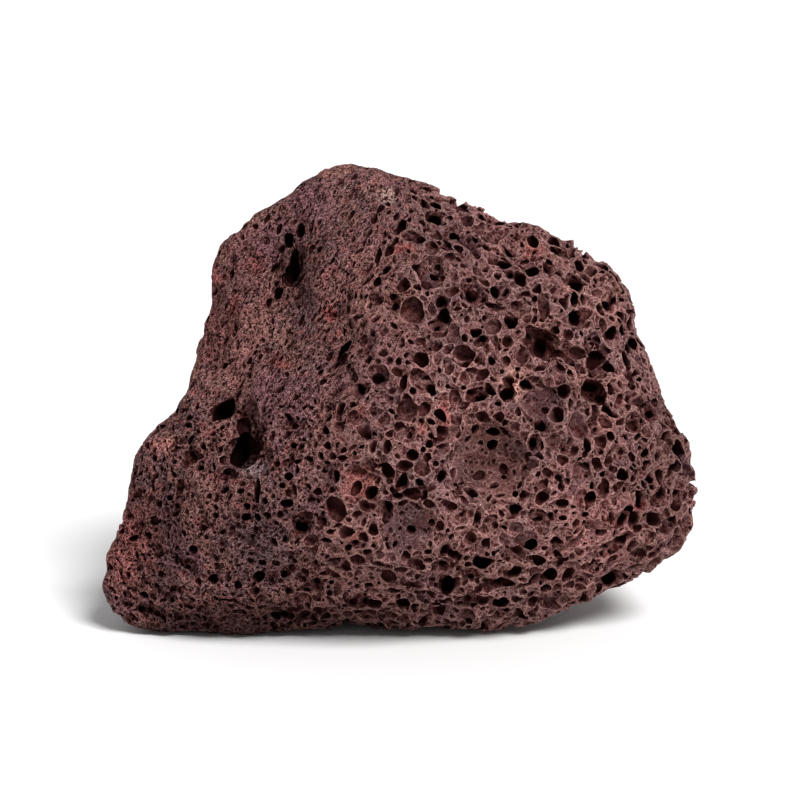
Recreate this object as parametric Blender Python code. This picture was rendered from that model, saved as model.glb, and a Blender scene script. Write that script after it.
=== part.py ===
"""Lava rock: one broken lump of red-brown scoria, 100 mm wide, standing on its flat underside.

The lump is pulled out of a ball whose equator is the rock's widest outline. That outline lies in a
plane that leans back a little from its foot. The relief in front of the plane comes from spot
heights, as on a surveyor's map, and the relief behind it from the broken faces that meet there.
The largest gas pits are cut last. Across is +X to the right, back is +Y and up is +Z, and the
origin is on the ground under the middle of the rock.
"""

import math
import random

import bmesh
import bpy
import numpy as np
from mathutils import Matrix, Vector, noise
from mathutils.bvhtree import BVHTree

# Driving dimensions, in metres unless the name says otherwise
MM = 0.001
OUTLINE_LEAN = math.radians(12)    # how far the outline's plane leans back
FOOT_Y = -0.01844                  # where that plane meets the ground
HEART_MM = (0.0, 34.4)             # the point that every part of the outline can be seen from
SIGHT_MM = (0.1, 39.5, 317.0)      # places in front are sighted from here: across, up and out
RINGS = 26                         # rings of facets from the outline to the middle, on each side
CALM_PASSES = 60                   # how far the outline's nicks are smoothed for the inner rings
CALM_POWER = 5
FRONT_SHOULDER = 5.0               # higher: the relief stays full until nearer the outline
BACK_SHOULDER = 5.5
FRONT_WEAR = 1.0 * MM              # how softly the faces meet
BACK_WEAR = 1.3 * MM
SKIN_GRAIN = 1.2 * MM              # the facets' size before they are thinned out
THINNED_TO = 0.12                  # the share of the facets that is left
LUMP_SIZE = 0.011
LUMP_HEIGHT = 0.0011
LUMP_OCTAVES = 3
LUMP_ROUGHNESS = 0.9
LUMP_SPACING = 2.1
LUMP_FREE_ZONE = 0.006             # the lumps fade this near to the outline's plane
GROUND_SNAP = 1e-6
LEAST_APART = 1e-9                 # keeps the logarithm finite where two spots coincide
CREASE_ANGLE = math.radians(40)
BASALT_BROWN = (0.117, 0.055, 0.053, 1.0)

# The widest outline, clockwise from the top: millimetres across from the middle, and up its plane
OUTLINE_MM = [
    (-13.7, 78.1), (-10.0, 79.0), (-4.6, 79.0), (0.8, 77.3), (6.5, 75.1), (11.2, 72.1),
    (15.0, 71.2), (16.9, 69.7), (24.6, 68.7), (26.3, 67.0), (30.7, 65.2), (32.7, 63.0),
    (37.0, 61.2), (38.1, 59.0), (40.1, 52.1), (41.1, 48.9), (44.3, 40.8), (45.4, 37.5),
    (48.5, 32.6), (49.0, 28.6), (50.0, 24.4), (49.5, 20.2), (48.6, 16.5), (45.1, 13.1),
    (38.6, 8.6), (33.7, 6.7), (29.5, 4.5), (24.3, 2.5), (16.9, 0.7), (6.8, 1.2),
    (-1.9, 1.0), (-8.3, 1.8), (-15.4, 1.0), (-26.8, 0.0), (-34.2, 0.5), (-41.9, 0.5),
    (-46.6, 2.5), (-50.0, 8.6), (-47.3, 18.6), (-44.4, 28.7), (-42.6, 32.8), (-38.7, 36.8),
    (-36.4, 39.1), (-35.7, 42.2), (-33.0, 50.9), (-31.8, 54.9), (-31.8, 61.0), (-30.2, 65.0),
    (-26.1, 69.2), (-20.7, 73.1), (-16.7, 75.1),
]

# Relief in front of the outline's plane: millimetres across, up and out
FRONT_SPOTS_MM = [
    # the crest and the broad broken face to the right of it
    (-11.7, 74.8, 9), (-5.0, 75.6, 11), (0.1, 73.1, 12), (8.5, 66.4, 15), (23.6, 63.0, 14),
    (33.7, 56.3, 14), (-3.3, 56.3, 17), (5.1, 56.3, 18), (16.9, 56.3, 17), (27.0, 47.9, 18),
    (37.0, 39.5, 16), (8.5, 42.8, 20), (0.1, 39.5, 20.5), (16.9, 31.1, 21), (42.1, 26.0, 15),
    (45.4, 19.3, 13), (0.1, 22.7, 22), (16.9, 17.6, 20), (33.7, 19.3, 17), (37.0, 12.6, 12),
    # the upper left face, which falls away from the crest to a shallow valley
    (-8.3, 56.3, 14), (-13.4, 63.0, 9), (-16.7, 56.3, 7.5), (-18.4, 66.4, 6), (-25.1, 64.7, 7),
    (-29.3, 58.0, 6), (-26.8, 51.2, 8), (-31.0, 47.9, 4), (-18.4, 47.9, 9), (-10.0, 47.9, 15),
    # the lobe at the lower left, which stands out in front of that face
    (-33.5, 42.2, 4.5), (-30.2, 39.1, 10), (-23.4, 40.3, 13), (-40.2, 32.8, 9), (-41.9, 22.7, 11),
    (-46.1, 10.9, 9), (-33.5, 26.0, 16), (-25.1, 31.1, 15), (-33.5, 14.3, 17), (-23.4, 19.3, 19.5),
    (-16.7, 31.1, 18), (-8.3, 36.1, 20),
    # the foot, which curves in under the front
    (-16.7, 11.8, 17), (0.1, 11.8, 18), (16.9, 11.8, 16), (-41.9, 6.7, 8), (-33.5, 5.9, 12),
    (-16.7, 5.0, 12), (0.1, 5.0, 13), (16.9, 5.0, 11),
]

# The broken faces: millimetres across, up and out (or back) of a point on each, then how steeply
# it falls to the right and upwards
FRONT_FACES = [
    ((24.0, 40.0, 19.5), 0.10, 0.06),
    ((0.0, 8.0, 15.5), 0.0, -0.95),
]
BACK_FACES = [
    ((0.0, 20.0, 47.0), 0.06, -0.03),
    ((24.0, 28.0, 42.0), 0.62, 0.08),
    ((-22.0, 25.0, 41.0), -0.68, 0.05),
    ((0.0, 50.0, 38.0), 0.05, 0.80),
    ((-20.0, 55.0, 27.0), -0.55, 0.40),
    ((25.0, 52.0, 29.0), 0.60, 0.50),
    ((38.0, 12.0, 29.0), 0.55, -0.55),
]

# The largest pits in front: (across, up) and half sizes in millimetres, turn in degrees from
# upright towards the right, and how deep each is sunk as a share of its ellipsoid
FRONT_PITS = [
    ((-26.1, 32.3), (2.3, 4.3), 22, 0.70),
    ((-29.8, 37.6), (1.0, 2.7), 45, 0.60),
    ((-17.9, 61.8), (1.3, 2.7), 10, 0.60),
    ((0.4, 68.2), (1.0, 1.8), 15, 0.60),
    ((6.0, 69.0), (1.35, 1.35), 0, 0.60),
    ((24.1, 48.4), (2.0, 3.0), -55, 0.45),
    ((32.7, 46.0), (1.6, 1.6), 0, 0.60),
    ((32.2, 40.5), (1.9, 2.4), -25, 0.45),
    ((18.6, 52.8), (1.4, 1.4), 0, 0.60),
    ((22.3, 61.0), (1.4, 1.2), 0, 0.55),
    ((2.1, 54.3), (1.8, 2.0), 0, 0.40),
    ((16.0, 29.4), (5.2, 6.2), -20, 0.22),
    ((23.8, 38.3), (4.0, 4.0), 0, 0.20),
    ((12.3, 57.8), (2.2, 2.7), 0, 0.28),
    ((5.5, 61.2), (1.8, 2.7), 0, 0.28),
    ((42.6, 19.3), (1.6, 1.6), 0, 0.55),
    ((13.9, 12.4), (1.45, 1.45), 0, 0.60),
    ((8.0, 8.4), (1.45, 1.5), 0, 0.60),
    ((25.1, 10.8), (1.4, 1.6), 0, 0.60),
    ((1.1, 17.6), (4.1, 3.4), 0, 0.18),
    ((-4.5, 5.4), (1.5, 1.2), 0, 0.55),
    ((39.7, 23.2), (1.1, 1.8), -30, 0.55),
    ((-10.3, 21.3), (2.0, 1.7), 0, 0.45),
    ((-6.5, 25.5), (3.3, 2.8), 0, 0.18),
]

# The pits behind are scattered
BACK_PIT_SEED = 5
BACK_PIT_TRIES = 400
BACK_PIT_COUNT = 16
BACK_PIT_APART_MM = 9.0
BACK_PIT_HALF_MM = (1.4, 2.8)
BACK_PIT_SUNK = (0.25, 0.6)
BACK_PIT_REACH = 0.8               # as a share of the way from the heart to the outline
PIT_DEPTH = 0.9                    # half the depth of a pit's ellipsoid, as a share of its half width
BROAD_PIT = 3.0 * MM               # pits with a half size over this have finer facets
PIT_FEELER = 1.5 * MM              # how far around its middle a pit feels for the surface's slope
FAR = 0.2                          # clear of the rock on every side


def in_frame(across, up, out):
    """A point by its place in the outline's plane and its distance in front of that plane."""
    lean_sin, lean_cos = math.sin(OUTLINE_LEAN), math.cos(OUTLINE_LEAN)
    return Vector((across, FOOT_Y + up * lean_sin - out * lean_cos, up * lean_cos + out * lean_sin))


def sighted(across, up, out):
    """The point at this distance out that the sighting eye sees at (across, up)."""
    eye_across, eye_up, eye_out = Vector(SIGHT_MM) * MM
    nearer = 1 - out / eye_out
    return in_frame(eye_across + (across - eye_across) * nearer, eye_up + (up - eye_up) * nearer, out)


class Outline:
    """The widest outline as evenly numbered points, and the same line calmed for the inner rings."""

    def __init__(self):
        corners = [Vector(corner) * MM for corner in OUTLINE_MM]
        self.heart = Vector(HEART_MM) * MM
        self.rim = []
        for i, here in enumerate(corners):
            before, after = corners[i - 1], corners[(i + 1) % len(corners)]
            later = corners[(i + 2) % len(corners)]
            self.rim += [here, (9 * (here + after) - before - later) / 16]
        self.calm = list(self.rim)
        for _ in range(CALM_PASSES):
            self.calm = [
                (self.calm[i - 1] + 2 * here + self.calm[(i + 1) % len(self.calm)]) / 4
                for i, here in enumerate(self.calm)
            ]

    def place(self, number, share):
        """(across, up) at this share of the way from the heart to the numbered rim point."""
        number %= len(self.rim)
        edge = self.calm[number].lerp(self.rim[number], share**CALM_POWER)
        return self.heart + (edge - self.heart) * share


class SpotHeights:
    """A thin plate bent through the spot heights."""

    def __init__(self, spots_mm):
        spots = np.array(spots_mm, float) * MM
        self.places, heights = spots[:, :2], spots[:, 2]
        flat = np.hstack([np.ones((len(spots), 1)), self.places])
        system = np.block([[self.bending(self.places), flat], [flat.T, np.zeros((3, 3))]])
        self.weights = np.linalg.solve(system, np.concatenate([heights, np.zeros(3)]))

    def bending(self, places):
        """How strongly each spot bends the plate at each place."""
        apart = np.linalg.norm(places[:, None] - self.places[None], axis=2)
        return apart**2 * np.log(np.maximum(apart, LEAST_APART))

    def height(self, place):
        """The plate's height at a place."""
        row = np.array([place])
        return float((np.hstack([self.bending(row), [[1.0]], row]) @ self.weights)[0])


def face_height(face, place):
    """The height of a broken face's plane at a place."""
    (across, up, out), fall_right, fall_up = face
    return out * MM - fall_right * (place.x - across * MM) - fall_up * (place.y - up * MM)


def worn_meeting(heights, wear):
    """The lowest of the heights, with the meeting of any two worn round."""
    lowest = min(heights)
    return lowest - wear * math.log(sum(math.exp((lowest - height) / wear) for height in heights))


def closing(share, shoulder):
    """How much of its height the relief keeps this far out towards the outline."""
    return math.sqrt(max(0.0, 1 - share**shoulder))


def front_point(place, share, plate):
    """The rock's surface in front of a place in the outline's plane."""
    heights = [plate.height(place)] + [face_height(face, place) for face in FRONT_FACES]
    return sighted(*place, worn_meeting(heights, FRONT_WEAR) * closing(share, FRONT_SHOULDER))


def back_point(place, share):
    """The rock's surface behind a place in the outline's plane."""
    heights = [face_height(face, place) for face in BACK_FACES]
    return in_frame(*place, -worn_meeting(heights, BACK_WEAR) * closing(share, BACK_SHOULDER))


def smooth_lump(outline):
    """The closed lump before any roughness: a ball pulled out to the outline and to the relief."""
    plate = SpotHeights(FRONT_SPOTS_MM)
    bm = bmesh.new()
    segments = len(outline.rim)
    bmesh.ops.create_uvsphere(bm, u_segments=segments, v_segments=2 * RINGS, radius=1)
    for vert in bm.verts:
        share = min(1.0, vert.co.xy.length)
        clockwise = math.atan2(-vert.co.y, vert.co.x) / math.tau
        place = outline.place(round(clockwise * segments), share)
        vert.co = front_point(place, share, plate) if vert.co.z > 0 else back_point(place, share)
    return bm


def roughen(bm):
    """Raises the broken surface's lumps, away from the outline's plane."""
    bm.normal_update()
    outward = in_frame(0, 0, 1) - in_frame(0, 0, 0)
    for vert in bm.verts:
        out = outward.dot(vert.co - in_frame(0, 0, 0))
        fade = 1 - math.exp(-((out / LUMP_FREE_ZONE) ** 2))
        lump = noise.fractal(vert.co / LUMP_SIZE, LUMP_ROUGHNESS, LUMP_SPACING, LUMP_OCTAVES)
        vert.co += vert.normal * (LUMP_HEIGHT * fade * lump)


def flatten_underside(bm):
    """Breaks the lump off flat at the ground."""
    everything = bm.verts[:] + bm.edges[:] + bm.faces[:]
    cut = bmesh.ops.bisect_plane(
        bm, geom=everything, plane_co=(0, 0, 0), plane_no=(0, 0, -1), clear_outer=True, dist=GROUND_SNAP
    )
    rim = [part for part in cut["geom_cut"] if isinstance(part, bmesh.types.BMEdge)]
    bmesh.ops.holes_fill(bm, edges=rim, sides=0)


def new_object(name, bm):
    """A new object in the scene that holds this mesh."""
    bmesh.ops.recalc_face_normals(bm, faces=bm.faces)
    mesh = bpy.data.meshes.new(name)
    bm.to_mesh(mesh)
    bm.free()
    obj = bpy.data.objects.new(name, mesh)
    bpy.context.scene.collection.objects.link(obj)
    return obj


def apply_modifier(bm, kind, **settings):
    """The mesh after one modifier."""
    helper = new_object("helper", bm)
    modifier = helper.modifiers.new(kind, kind)
    for name, value in settings.items():
        setattr(modifier, name, value)
    done = bmesh.new()
    done.from_object(helper, bpy.context.evaluated_depsgraph_get())
    bpy.data.objects.remove(helper, do_unlink=True)
    return done


def add_pit(cutter, rock, eye, aim, halves, turn, sunk):
    """Adds one pit's ellipsoid to the cutter, where the eye's line to the aim meets the rock."""
    sight = (aim - eye).normalized()
    up = Vector((0, 0, 1))
    right = sight.cross(up).normalized()
    nudges = [Vector(), right * PIT_FEELER, -right * PIT_FEELER, up * PIT_FEELER, -up * PIT_FEELER]
    hits = [rock.ray_cast(eye, (aim + nudge - eye).normalized())[:2] for nudge in nudges]
    middle = hits[0][0]
    outward = sum((normal for point, normal in hits if point), Vector()).normalized()
    half_across, half_up = halves
    half_out = PIT_DEPTH * (half_across + half_up) / 2
    upright = (up - outward * up.dot(outward)).normalized()
    axes = Matrix((upright.cross(outward), upright, outward)).transposed().to_4x4()
    sizes = Matrix.Diagonal((half_across, half_up, half_out, 1))
    place = Matrix.Translation(middle - outward * half_out * (2 * sunk - 1))
    spin = Matrix.Rotation(math.radians(-turn), 4, "Z")
    fineness = 3 if max(halves) > BROAD_PIT else 2
    shape = place @ axes @ spin @ sizes
    bmesh.ops.create_icosphere(cutter, subdivisions=fineness, radius=1, matrix=shape)


def pit_cutter(outline, rock):
    """All the pits as one mesh: those in front as listed, those behind scattered."""
    cutter = bmesh.new()
    eye = in_frame(*(Vector(SIGHT_MM) * MM))
    for (across, up), halves, turn, sunk in FRONT_PITS:
        aim = in_frame(across * MM, up * MM, 0)
        add_pit(cutter, rock, eye, aim, Vector(halves) * MM, turn, sunk)
    rng = random.Random(BACK_PIT_SEED)
    taken = []
    for _ in range(BACK_PIT_TRIES):
        number = rng.randrange(len(outline.rim))
        place = outline.place(number, BACK_PIT_REACH * math.sqrt(rng.random()))
        halves = Vector((rng.uniform(*BACK_PIT_HALF_MM), rng.uniform(*BACK_PIT_HALF_MM))) * MM
        turn, sunk = rng.uniform(-90, 90), rng.uniform(*BACK_PIT_SUNK)
        clear = all((place - other).length > BACK_PIT_APART_MM * MM for other in taken)
        if clear and len(taken) < BACK_PIT_COUNT:
            taken.append(place)
            add_pit(cutter, rock, in_frame(*place, -FAR), in_frame(*place, 0), halves, turn, sunk)
    return cutter


def scoria_material():
    """Dull red-brown scoria."""
    material = bpy.data.materials.new("scoria")
    material.use_nodes = True
    shader = material.node_tree.nodes["Principled BSDF"]
    shader.inputs["Base Color"].default_value = BASALT_BROWN
    shader.inputs["Roughness"].default_value = 0.9
    shader.inputs["Metallic"].default_value = 0.0
    return material


def main():
    for obj in list(bpy.data.objects):
        bpy.data.objects.remove(obj, do_unlink=True)
    outline = Outline()
    lump = apply_modifier(smooth_lump(outline), "REMESH", mode="VOXEL", voxel_size=SKIN_GRAIN)
    roughen(lump)
    lump = apply_modifier(lump, "DECIMATE", ratio=THINNED_TO)
    flatten_underside(lump)
    pits = new_object("pit_cutter", pit_cutter(outline, BVHTree.FromBMesh(lump)))
    pits.hide_render = True
    pits.display_type = "WIRE"

    rock = new_object("lava_rock", lump)
    rock.data.materials.append(scoria_material())
    rock.data.shade_smooth()
    rock.data.set_sharp_from_angle(angle=CREASE_ANGLE)
    boolean = rock.modifiers.new("gas pits", "BOOLEAN")
    boolean.operation = "DIFFERENCE"
    boolean.solver = "EXACT"
    boolean.object = pits


main()
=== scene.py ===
import math
import random

import bmesh
import bpy
import numpy as np
from mathutils import Matrix, Vector, noise
from mathutils.bvhtree import BVHTree
from mathutils.kdtree import KDTree


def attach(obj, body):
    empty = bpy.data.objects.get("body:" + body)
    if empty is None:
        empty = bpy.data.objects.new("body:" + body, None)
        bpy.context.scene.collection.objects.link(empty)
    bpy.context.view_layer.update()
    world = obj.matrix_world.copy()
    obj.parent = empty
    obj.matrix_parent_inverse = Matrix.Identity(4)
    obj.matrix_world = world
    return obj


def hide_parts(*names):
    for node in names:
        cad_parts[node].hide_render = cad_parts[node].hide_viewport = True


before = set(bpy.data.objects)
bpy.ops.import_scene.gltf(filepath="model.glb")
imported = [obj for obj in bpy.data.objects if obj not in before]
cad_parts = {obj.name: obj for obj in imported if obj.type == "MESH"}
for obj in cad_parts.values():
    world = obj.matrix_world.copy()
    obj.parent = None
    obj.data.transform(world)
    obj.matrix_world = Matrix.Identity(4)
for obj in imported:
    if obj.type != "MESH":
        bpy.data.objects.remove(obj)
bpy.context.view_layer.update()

mm = 0.001

# Places in front are given in the plane of the rock's widest outline, which leans back from its
# foot: millimetres across and up. The eye sights each of them onto the surface.
sight = {
    "lean": math.radians(12),
    "footY": -18.44 * mm,
    "eye": (0.1, 39.5, 317),      # across, up and out
    "lens": 85,
    "sensor": 36,
    "clipStart": 0.01,
    "front": -4,                  # marks on the front reach back to here
}


def inFrame(across, up, out=0):
    leanSin, leanCos = math.sin(sight["lean"]), math.cos(sight["lean"])
    y = sight["footY"] + (up * leanSin - out * leanCos) * mm
    return Vector((across * mm, y, (up * leanCos + out * leanSin) * mm))


eye = inFrame(*sight["eye"])
outward = (inFrame(0, 0, 1) - inFrame(0, 0)).normalized()
upward = (inFrame(0, 1) - inFrame(0, 0)).normalized()


def placesOf(points):
    # where the eye sees these points: across and up, and how far out they are, in millimetres
    rays = np.asarray(points) - np.array(eye)
    depth = -(rays @ np.array(outward))
    nearer = sight["eye"][2] / depth
    across = sight["eye"][0] + rays[:, 0] * nearer
    up = sight["eye"][1] + (rays @ np.array(upward)) * nearer
    return across, up, sight["eye"][2] - depth / mm


def smoothStep(low, high, x):
    t = np.clip((np.asarray(x) - low) / (high - low), 0, 1)
    return t * t * (3 - 2 * t)


def rgb(*seen):
    # a colour given as it is seen, from 0 to 255
    shares = [value / 255 for value in seen]
    linear = [share / 12.92 if share < 0.04 else ((share + 0.055) / 1.055) ** 2.4 for share in shares]
    return (*linear, 1.0)


def newObject(name, data):
    obj = bpy.data.objects.new(name, data)
    bpy.context.scene.collection.objects.link(obj)
    return obj


def afterModifier(mesh, kind, **settings):
    # the mesh as one modifier leaves it
    helper = newObject("helper", mesh)
    modifier = helper.modifiers.new(kind, kind)
    for name, value in settings.items():
        setattr(modifier, name, value)
    done = bpy.data.meshes.new_from_object(helper.evaluated_get(bpy.context.evaluated_depsgraph_get()))
    bpy.data.objects.remove(helper)
    bpy.data.meshes.remove(mesh)
    return done


def vertexArray(mesh):
    coords = np.empty(len(mesh.vertices) * 3, np.float32)
    mesh.vertices.foreach_get("co", coords)
    return coords.reshape(-1, 3).astype(float)


def normalArray(mesh):
    normals = np.empty(len(mesh.vertices) * 3, np.float32)
    mesh.vertices.foreach_get("normal", normals)
    return normals.reshape(-1, 3)


def awayFrom(middle, halves, across, up, turn=0):
    # how far places are from a spot's middle, where 1 is its edge
    turnSin, turnCos = math.sin(math.radians(turn)), math.cos(math.radians(turn))
    right, over = across - middle[0], up - middle[1]
    return np.hypot(
        (right * turnCos - over * turnSin) / halves[0], (right * turnSin + over * turnCos) / halves[1]
    )


def noiseOf(points, size, seed=0.0):
    # one octave of smooth noise at each point, from -1 to 1
    shift = Vector((seed, seed * 1.7, -seed))
    return np.array([noise.noise(Vector(point) / size + shift) for point in points])


skin = {
    "merge": 0.001 * mm,
    "voxel": 0.85 * mm,
    "smoothing": 3,
    "evenness": 0.5,
    "lumps": [(7 * mm, 0.55 * mm), (3 * mm, 0.35 * mm)],      # size and height
    "restZone": 2.0 * mm,                                      # no lumps this near the ground
    "ground": 0.3 * mm,              # what is lower than this stands on the ground
    "kept": 0.18,
    "swellingEdge": (1.4, 0.2),      # where a swelling begins, and where it is whole
    "bowlsMost": 70000,              # triangles after the bowls, and in the end
    "most": 195000,
    "mendings": 5,
    "sharpFrom": math.radians(72),
}
# hollows and swellings on the front: (across, up), half sizes across and up, turn from upright to
# the right in degrees, and height in millimetres
swellings = [
    ((-19.3, 61), (3, 7.5), 14, -1.3), ((-26, 33.5), (4, 6), 10, -1.3), ((-29.8, 38), (3, 2.4), 40, -0.8),
    ((-41, 30), (4, 4), 0, 0.6), ((-39.5, 19.5), (2.6, 5), 10, -0.8), ((-16.5, 18.5), (3.4, 3), 0, -0.9),
    ((-23.5, 10.5), (3, 4), 0, -0.8), ((-30.5, 22.5), (4, 3.5), 0, 0.5), ((-33, 12), (4, 3), 0, -0.6),
    ((-9.5, 48), (1.6, 5), 28, -0.8), ((-25.5, 51), (3, 6), 10, 0.6), ((-20.5, 41), (5, 2), 80, -0.6),
    ((-13, 60), (2, 8), 12, 0.5), ((-16, 26.5), (4, 2.2), 60, 0.5),
]


def swellingAt(points):
    across, up, out = placesOf(points)
    height = np.zeros(len(points))
    for middle, halves, turn, rise in swellings:
        away = awayFrom(middle, halves, across, up, turn)
        height += rise * mm * smoothStep(*skin["swellingEdge"], away) * (out > sight["front"])
    return height


def makeSkin():
    bm = bmesh.new()
    bm.from_mesh(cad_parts["lava_rock"].data)
    bmesh.ops.remove_doubles(bm, verts=bm.verts, dist=skin["merge"])
    mesh = bpy.data.meshes.new("skin")
    bm.to_mesh(mesh)
    bm.free()
    mesh = afterModifier(mesh, "REMESH", mode="VOXEL", voxel_size=skin["voxel"])
    mesh = afterModifier(mesh, "SMOOTH", factor=skin["evenness"], iterations=skin["smoothing"])
    points = vertexArray(mesh)
    height = sum(noiseOf(points, size, size) * lump for size, lump in skin["lumps"])
    height += swellingAt(points)
    height *= smoothStep(0, skin["restZone"], points[:, 2])
    points += normalArray(mesh) * height[:, None]
    points[:, 2] = np.where(points[:, 2] < skin["ground"], 0, points[:, 2])
    mesh.vertices.foreach_set("co", points.ravel())
    return afterModifier(mesh, "DECIMATE", ratio=skin["kept"])


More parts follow.
